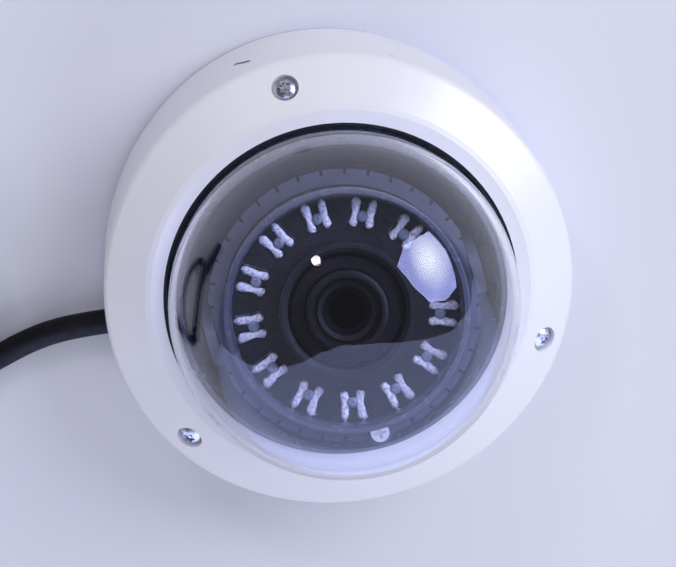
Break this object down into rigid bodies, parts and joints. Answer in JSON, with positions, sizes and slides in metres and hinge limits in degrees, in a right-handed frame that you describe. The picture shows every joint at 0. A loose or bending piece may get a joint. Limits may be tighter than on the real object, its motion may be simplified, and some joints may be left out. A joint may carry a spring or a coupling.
{
  "type": "dome security camera",
  "caption": "Surface-mount dome camera: white screwed-down cover, clear dome, infrared-ring eyeball that pans, tilts and rolls, and a network pigtail.",
  "frame": {"origin": "centre of the mounting face of the base", "axes": "+Z along the dome axis, out of the mounting surface; +X towards the cable outlet; the eyeball looks towards -Y when it is tilted"},
  "size_m": [0.2045, 0.158, 0.0799],
  "materials": {
    "white_paint": "satin powder coat, fine orange peel",
    "stainless": "turned stainless steel",
    "black_rubber": "matt",
    "clear_dome": "clear polycarbonate",
    "sheet_steel": "satin",
    "light_plastic": "satin moulded",
    "cast_aluminium": "as cast",
    "green_board": "solder mask",
    "black_board": "black solder mask",
    "chip_black": "moulded epoxy",
    "white_nylon": "moulded nylon",
    "black_plastic": "fine spark texture",
    "grey_plastic": "fine spark texture",
    "black_metal": "black anodised",
    "led_clear": "clear epoxy",
    "clear_window": "clear acrylic",
    "sensor_cell": "dark glassy cell",
    "filter_glass": "coated glass",
    "lens_glass": "coated glass",
    "cable_black": "matt jacket",
    "tie_black": "smooth",
    "socket_black": "moulded, fine texture",
    "gold_contact": "gold flash"
  },
  "bodies": {
    "base": {"base_housing": "cast_aluminium", "cover_seal": "black_rubber", "main_board": "green_board", "board_screws": "stainless", "board_chips": "chip_black", "board_connectors": "white_nylon", "turntable": "black_plastic", "pan_clamp_ring": "black_plastic", "turntable_screws": "stainless", "pan_lock_screw": "stainless", "cable_gland": "black_rubber", "cable_lead": "cable_black", "cable_coil": "cable_black", "cable_tail": "cable_black", "coil_tie": "tie_black", "network_socket": "socket_black", "socket_contacts": "gold_contact"},
    "cover": {"cover": "white_paint", "cover_screws": "stainless", "captive_clips": "stainless", "dome_bubble": "clear_dome", "dome_gasket": "black_rubber", "dome_retainer": "sheet_steel", "retainer_screws": "stainless", "liner": "light_plastic"},
    "pan": {"pan_yoke": "grey_plastic", "shroud": "grey_plastic"},
    "tilt": {"roll_carrier": "grey_plastic", "tilt_pivot_screws": "black_metal", "roll_lock_screw": "white_nylon"},
    "ball": {"ball_rear_shell": "grey_plastic", "ball_front_shell": "light_plastic", "ball_screws": "stainless", "ir_board": "black_board", "light_sensor": "sensor_cell", "ir_window": "clear_window", "lens_hood": "black_rubber", "lens_holder": "black_plastic", "sensor_board": "green_board", "image_sensor": "sensor_cell", "heat_sink": "sheet_steel", "inner_screws": "stainless", "ir_led_01": "led_clear", "ir_led_02": "led_clear", "ir_led_03": "led_clear", "ir_led_04": "led_clear", "ir_led_05": "led_clear", "ir_led_06": "led_clear", "ir_led_07": "led_clear", "ir_led_08": "led_clear", "ir_led_09": "led_clear", "ir_led_10": "led_clear", "ir_led_11": "led_clear", "ir_led_12": "led_clear"},
    "focus": {"focus_ring": "black_metal"},
    "lens": {"lens_barrel": "black_metal", "lens_glass": "lens_glass"},
    "filter": {"filter_carriage": "black_plastic", "filter_glass": "filter_glass"}
  },
  "joints": [
    {"name": "cover_lift", "type": "slide", "parent": "base", "child": "cover", "axis": [0, 0, 1], "range_m": [0, 0.06]},
    {"name": "pan_turn", "type": "hinge", "parent": "base", "child": "pan", "pos_m": [0, 0, 0.0149], "axis": [0, 0, 1], "range_deg": [-177, 177]},
    {"name": "tilt_turn", "type": "hinge", "parent": "pan", "child": "tilt", "pos_m": [0, 0, 0.04], "axis": [1, 0, 0], "range_deg": [-13.5, 61.5]},
    {"name": "roll_turn", "type": "hinge", "parent": "tilt", "child": "ball", "pos_m": [0, 0, 0.04], "axis": [0, -0.2334, 0.9724], "range_deg": [-170, 170]},
    {"name": "focus_turn", "type": "hinge", "parent": "ball", "child": "focus", "pos_m": [0, 0, 0.04], "axis": [0, -0.2334, 0.9724], "range_deg": [-60, 60]},
    {"name": "lens_slide", "type": "slide", "parent": "ball", "child": "lens", "axis": [0, -0.2334, 0.9724], "range_m": [-0.0007, 0.0007]},
    {"name": "filter_shift", "type": "slide", "parent": "ball", "child": "filter", "axis": [1, 0, 0], "range_m": [0, 0.008]}
  ],
  "couplings": [
    {"joint": "lens_slide", "follows": "focus_turn", "m_per_rad": 0.00063662}
  ]
}
